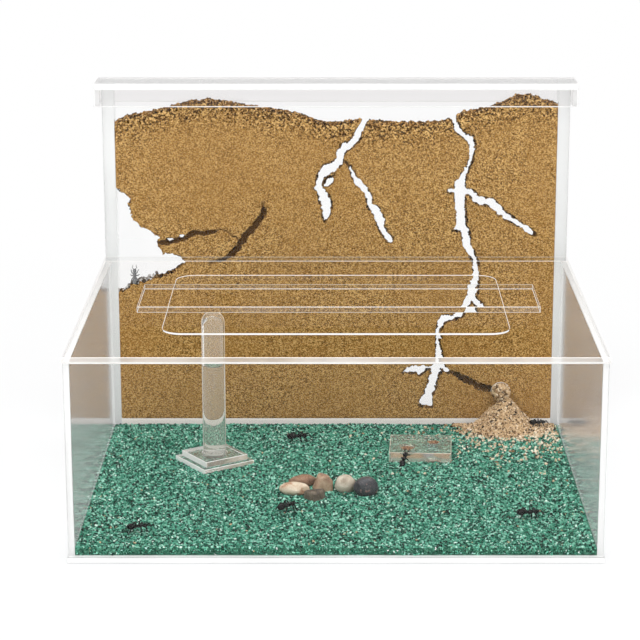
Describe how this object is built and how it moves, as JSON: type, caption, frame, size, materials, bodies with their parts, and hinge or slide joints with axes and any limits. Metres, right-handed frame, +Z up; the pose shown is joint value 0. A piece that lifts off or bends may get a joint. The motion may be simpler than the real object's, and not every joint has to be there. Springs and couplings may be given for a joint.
{
  "type": "ant habitat",
  "caption": "Clear-walled box with a sanded floor, drinker, feeder and pebbles, backed by a tall thin sand-filled nest with galleries under a lift-off lid.",
  "frame": {"origin": "on the floor under the middle of the whole habitat's box", "axes": "+X to the right seen from the arena, +Y to the back (towards the nest), +Z up"},
  "size_m": [0.258, 0.2206, 0.195],
  "materials": {
    "acrylic": "clear, polished sheet with bright edges",
    "nest_sand": "damp packed ochre sand, fine grain",
    "green_sand": "loose dyed green grit with pale and dark grains",
    "dug_sand": "loose dry tan grit",
    "tube_glass": "clear, smooth",
    "water": "clear liquid",
    "seed": "dry brown seed",
    "pebble_brown": "matt, orange-brown",
    "pebble_rose_white": "smooth, cream with rose patches",
    "pebble_pink_brown": "matt, pinkish brown",
    "pebble_grey": "matt, dark warm grey",
    "pebble_cream": "smooth, cream",
    "pebble_charcoal": "smooth, near black with rose flecks"
  },
  "bodies": {
    "habitat": {"base_plate": "acrylic", "arena_front_wall": "acrylic", "arena_left_wall": "acrylic", "arena_right_wall": "acrylic", "arena_top_plate": "acrylic", "nest_front_pane": "acrylic", "nest_back_pane": "acrylic", "nest_left_spacer": "acrylic", "nest_right_spacer": "acrylic", "nest_bottom_spacer": "acrylic", "nest_sand": "nest_sand", "sand_bed": "green_sand", "sand_heap": "dug_sand", "pebble_brown": "pebble_brown", "pebble_rose_white": "pebble_rose_white", "pebble_wedge": "pebble_pink_brown", "pebble_slate": "pebble_grey", "pebble_cream": "pebble_cream", "pebble_charcoal": "pebble_charcoal"},
    "nest_lid": {"lid_top": "acrylic", "lid_front_skirt": "acrylic", "lid_back_skirt": "acrylic", "lid_left_skirt": "acrylic", "lid_right_skirt": "acrylic"},
    "cover": {"cover_strip": "acrylic"},
    "drinker_stand": {"stand_lower": "acrylic", "stand_upper": "acrylic"},
    "drinker": {"drinker_tube": "tube_glass", "drinker_water": "water"},
    "feeder": {"feeder_block": "acrylic", "feeder_seeds": "seed"}
  },
  "joints": [
    {"name": "lid_lift", "type": "slide", "parent": "habitat", "child": "nest_lid", "axis": [0, 0, 1], "range_m": [0, 0.06]},
    {"name": "cover_slide", "type": "slide", "parent": "habitat", "child": "cover", "axis": [0, 1, 0], "range_m": [-0.075, 0.07]},
    {"name": "stand_lift", "type": "slide", "parent": "habitat", "child": "drinker_stand", "axis": [0, 0, 1], "range_m": [0, 0.012]},
    {"name": "tube_lift", "type": "slide", "parent": "drinker_stand", "child": "drinker", "axis": [0, 0, 1], "range_m": [0, 0.1]},
    {"name": "feeder_lift", "type": "slide", "parent": "habitat", "child": "feeder", "axis": [0, 0, 1], "range_m": [0, 0.08]}
  ]
}
